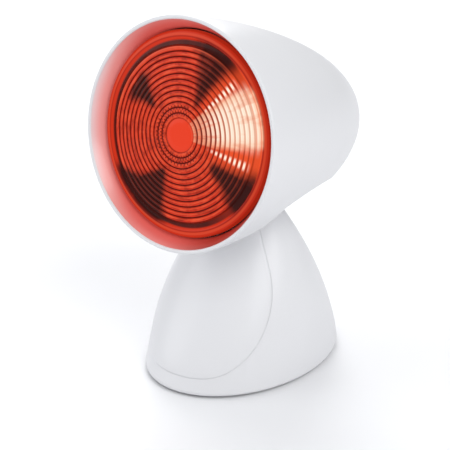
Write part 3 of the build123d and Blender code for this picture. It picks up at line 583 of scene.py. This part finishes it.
def funnelWithPaintedLight():
    skin = Finish("funnelWhitePaintedLight", paintedFunnelLight["unlit"], 0.3, Coat_Roughness=0.12)
    across, height, radius = skin.rimPlace()
    upright = (height * height) / (radius * radius)  # 0 at the sides, 1 at top and bottom
    cloud = skin.noise(paintedFunnelLight["cloudScale"], 3)
    inwards = (skin.dot(axisBack, rimCentre) * 1000).step(*paintedFunnelLight["depths"])
    # painted light: pink to salmon, stronger towards top and bottom and deeper in
    near = upright.step(0.1, 0.95) * inwards.step(0.0, 0.3) * 0.54
    near = near + inwards * 0.60 + (cloud - 0.5) * 0.10
    colour = skin.mix(near.step(0.0, 0.5), paintedFunnelLight["white"], paintedFunnelLight["pink"])
    colour = skin.mix(near.step(0.35, 1.05), colour, paintedFunnelLight["salmon"])
    # painted shade: dark red towards the right side and deeper in
    shaded = (across / radius).step(-0.1, 0.55) * inwards.step(0.0, 0.2)
    colour = skin.mix(shaded * paintedFunnelLight["shadeShare"], colour, paintedFunnelLight["shade"])
    skin.feed("Base Color", colour)
    # painted glow: the funnel emits its painted colours
    skin.feed("Emission Color", colour)
    skin.feed("Emission Strength", paintedFunnelLight["glowStrength"])
    skin.feed("Coat Weight", 0.15 + cloud * 0.1)
    skin.bump(skin.noise(plastic["rippleScale"], 1), 0.2, plastic["ripple"])
    return skin.mat


cover = {
    # half the outline, from the bottom up: handle, point, handle, each across and up in mm
    "outline": (
        ((-17.56, 11.9), (0.0, 11.9), (17.56, 11.9)),
        ((26.13, 11.99), (32.5, 18.0), (37.4, 22.63)),
        ((41.0, 30.76), (41.0, 42.0), (41.0, 57.64)),
        ((35.46, 68.73), (28.7, 79.6), (24.31, 86.66)),
        ((19.4, 93.61), (14.5, 101.0), (10.0, 101.0)),
    ),
    "middle": 50.0,  # height that the rings close in on
    "bend": 14,  # steps between two points of the outline
    "insets": (0.25, 0.6, 1.1, 1.8, 2.7, 3.8, 5.2, 7.0, 9.5, 13, 17, 21, 25, 29, 33, 36.5),
    "edgeBand": 9,  # rings further in than this close in evenly, over the span
    "span": 38.0,
    "grow": 1.0055,  # for the rings less than a millimetre in
    "proud": (1.5, 0.9),  # low down and near the hinge
    "proudFrom": (55.0, 88.0),  # heights between which it falls
    "roundWidth": 9.0,
    "wall": 2.2,
    "smoothAngle": 60,
    "weld": 0.000002,  # metres
    # the foot under it: half widths and depths at table and neck, how fast they narrow,
    # and how far it leans back
    "tableHalf": (54.3, 74.5),
    "neckHalf": (15.97, 11.06),
    "powers": (2.62, 1.24),
    "neckHeight": 107.74,
    "leanBack": 6.0,
}


def footFront(across, height, proud):  # where the foot's front lies, some way proud of it
    share = height / cover["neckHeight"]
    width, depth = (neck + (table - neck) * (1 - share ** power) + proud for neck, table, power
                    in zip(cover["neckHalf"], cover["tableHalf"], cover["powers"]))
    return cover["leanBack"] * share ** 2 - depth * sqrt(max(1 - (across / width) ** 2, 0))


def coverPlace(spoke, inset):  # a spoke from the middle to the outline, shortened by the inset
    share = 1 - inset / spoke.length
    if inset > cover["edgeBand"]:
        share = min(1 - inset / cover["span"], 1 - cover["edgeBand"] / spoke.length)
    place = spoke * share * (cover["grow"] if inset < 1 else 1)
    across, height = place.x, place.z + cover["middle"]
    low, high = cover["proudFrom"]
    fade = min(max((height - low) / (high - low), 0), 1)
    proud = cover["proud"][0] + (cover["proud"][1] - cover["proud"][0]) * fade
    near = min(inset / cover["roundWidth"], 1)
    lift = proud * sqrt(1 - (1 - near) ** 2)
    return Vector((across, footFront(across, height, lift), height)) / 1000


def makeCover():
    bpy.ops.object.select_all(action="DESELECT")
    bpy.ops.curve.primitive_bezier_curve_add(location=(0, 0, 0))
    piece = bpy.context.object
    piece.name = "footCover"
    half = cover["outline"]
    turnedHalf = [tuple((-x, z) for x, z in reversed(knot)) for knot in reversed(half[1:])]
    knots = [*half, *turnedHalf]
    line = piece.data.splines[0]
    line.bezier_points.add(len(knots) - 2)
    for point, knot in zip(line.bezier_points, knots):
        point.handle_left_type = point.handle_right_type = "FREE"
        point.handle_left, point.co, point.handle_right = (
            Vector((x, 0, z)) / 1000 for x, z in knot)
    line.use_cyclic_u = True
    piece.data.resolution_u = cover["bend"]
    bpy.ops.object.convert(target="MESH")
    piece = bpy.context.object
    middle = Vector((0, 0, cover["middle"])) / 1000
    outline = [vertex.co - middle for vertex in piece.data.vertices]
    bpy.ops.object.mode_set(mode="EDIT")
    bpy.ops.mesh.select_mode(type="EDGE")
    bpy.ops.mesh.select_all(action="SELECT")
    for _ in cover["insets"]:
        bpy.ops.mesh.extrude_edges_move(TRANSFORM_OT_translate={"value": (0, 0, 0)})
        bpy.ops.transform.resize(value=(0.99, 1, 0.99), center_override=middle)
    bpy.ops.object.mode_set(mode="OBJECT")
    # then each ring moves in from the outline by its inset, and onto the foot's surface
    insets = (0, *cover["insets"])
    for number, vertex in enumerate(piece.data.vertices):
        ring, spot = divmod(number, len(outline))
        vertex.co = coverPlace(outline[spot] * 1000, insets[ring])
    bpy.ops.object.mode_set(mode="EDIT")
    bpy.ops.mesh.merge(type="CENTER")
    bpy.ops.mesh.select_all(action="SELECT")
    bpy.ops.mesh.remove_doubles(threshold=cover["weld"])
    bpy.ops.mesh.normals_make_consistent(inside=False)
    bpy.ops.object.mode_set(mode="OBJECT")
    if piece.data.polygons[0].normal.y > 0:  # the outside faces forwards
        bpy.ops.object.mode_set(mode="EDIT")
        bpy.ops.mesh.flip_normals()
        bpy.ops.object.mode_set(mode="OBJECT")
    wall = piece.modifiers.new("wall", "SOLIDIFY")
    wall.thickness = cover["wall"] / 1000
    wall.offset = -1
    bpy.ops.object.modifier_apply(modifier="wall")
    bpy.ops.object.shade_smooth_by_angle(angle=radians(cover["smoothAngle"]))
    piece.data.materials.append(finishes["white_cover"])
    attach(piece, "foot")
    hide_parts("front_cover")
    print("front cover made with", len(piece.data.vertices), "points")


finishes = {
    "white_shell": glossPlastic("shellWhite", plastic["white"]),
    "white_cover": glossPlastic("coverWhite", plastic["white"], 0.42, 0.12),
    "white_funnel": funnelWithPaintedLight(),
    "white_belly": mattPlastic("bellyWhite", plastic["belly"]),
    "grey_plastic": mattPlastic("plateGrey", plastic["grey"]),
    "rubber": rubberSkin("ringRubber", plastic["rubber"]),
    "soft_white": rubberSkin("glandRubber", plastic["softWhite"]),
    "acetal": mattPlastic("acetal", plastic["cream"], 0.42),
    "steel": bareMetal("zincSteel", metal["steel"], 0.34),
    "spring_steel": bareMetal("springSteel", metal["spring"], 0.28, (12, 1, 1)),
    "plated_steel": bareMetal("platedSheet", metal["steel"], 0.38, (1, 12, 1)),
    "porcelain": glazed("porcelain", glaze["porcelain"], 0.22),
    "brass": bareMetal("brass", metal["brass"], 0.26),
    "red_glass": lensGlass(),
    "silvered_glass": silveredBowl(),
    "bulb_metal": bareMetal("bulbCapMetal", metal["aluminium"], 0.3),
    "black_glass": glazed("blackGlass", glaze["blackGlass"], 0.15),
    "solder": bareMetal("solder", metal["solder"], 0.45),
    "tungsten": bareMetal("tungsten", metal["tungsten"], 0.5),
    "support_wire": bareMetal("supportWire", metal["spring"], 0.4),
}
for part in frame["record"]["subparts"]:
    slots = nodes[part["node"]].data.materials
    slots.clear()
    slots.append(finishes[part["material_slot"]])
print("finishes made")

makeLens()
makeFunnel()
makeCover()

studio = {
    "floorColour": (0.83, 0.833, 0.85),
    "floorSize": 14,
    "floorHeight": -0.0002,
    "skyColour": (0.97, 0.98, 1.0),
    "skyStrength": 0.55,
    "aim": (0, 0, 0.1),  # what the lights point at
    # each light's place, width, power in watts and colour
    "lights": {
        "right": ((1.259, -0.458, 1.147), 1.4, 16.5, (1.0, 1.0, 0.99)),
        "frontLeft": ((-1.136, -0.954, 0.70), 1.2, 8, (0.98, 0.99, 1.0)),
        "backLeft": ((-1.058, 1.260, 1.05), 1.2, 13, (1.0, 1.0, 1.0)),
        "above": ((-0.823, 0.475, 1.745), 1.6, 8, (1.0, 1.0, 1.0)),
    },
}


def turnTo(thing, direction):  # lights and cameras look along their own -Z
    thing.rotation_euler = direction.to_track_quat("-Z", "Y").to_euler()


def makeFloor():
    bpy.ops.mesh.primitive_plane_add(size=studio["floorSize"],
                                     location=(0, 0, studio["floorHeight"]))
    floor = bpy.context.object
    floor.name = "floor"
    bpy.ops.object.mode_set(mode="EDIT")
    bpy.ops.mesh.select_all(action="SELECT")
    bpy.ops.mesh.subdivide(number_cuts=3)
    bpy.ops.object.mode_set(mode="OBJECT")
    bpy.ops.object.transform_apply()
    ground = Finish("paleFloor", studio["floorColour"], 0.6)
    ground.feed("Roughness", 0.55 + ground.noise(3) * 0.1)
    floor.data.materials.append(ground.mat)


def makeLight(name, place, width, power, colour):
    bpy.ops.object.light_add(type="AREA", location=place)
    lamp = bpy.context.object
    lamp.name = name + "Light"
    turnTo(lamp, Vector(studio["aim"]) - Vector(place))
    lamp.data.shape = "DISK"
    lamp.data.size = width
    lamp.data.energy = power
    lamp.data.color = colour


def makeWorld():
    world = bpy.data.worlds.new("studioWorld")
    world.use_nodes = True
    sky = world.node_tree.nodes["Background"]
    sky.inputs["Color"].default_value = (*studio["skyColour"], 1)
    sky.inputs["Strength"].default_value = studio["skyStrength"]
    bpy.context.scene.world = world
    bpy.context.scene.view_settings.view_transform = "Standard"


view = {
    "azimuth": 37.67,
    "elevation": 22.0,
    "distance": 0.85,
    "target": (0, -0.01925, 0.0935),
    "focalPixels": 1379,
    "imagePixels": 450,
    "sensor": 36,
    "farthest": 50,
}


def makeCamera():
    azimuth, elevation = radians(view["azimuth"]), radians(view["elevation"])
    away = Vector((sin(azimuth) * cos(elevation), -cos(azimuth) * cos(elevation), sin(elevation)))
    bpy.ops.object.camera_add(location=Vector(view["target"]) + away * view["distance"])
    camera = bpy.context.object
    camera.name = "viewCamera"
    turnTo(camera, -away)
    camera.data.sensor_width = view["sensor"]
    camera.data.lens = view["sensor"] * view["focalPixels"] / view["imagePixels"]
    camera.data.clip_end = view["farthest"]
    bpy.context.scene.camera = camera


makeFloor()
for name, settings in studio["lights"].items():
    makeLight(name, *settings)
makeCamera()
makeWorld()
print("studio made")
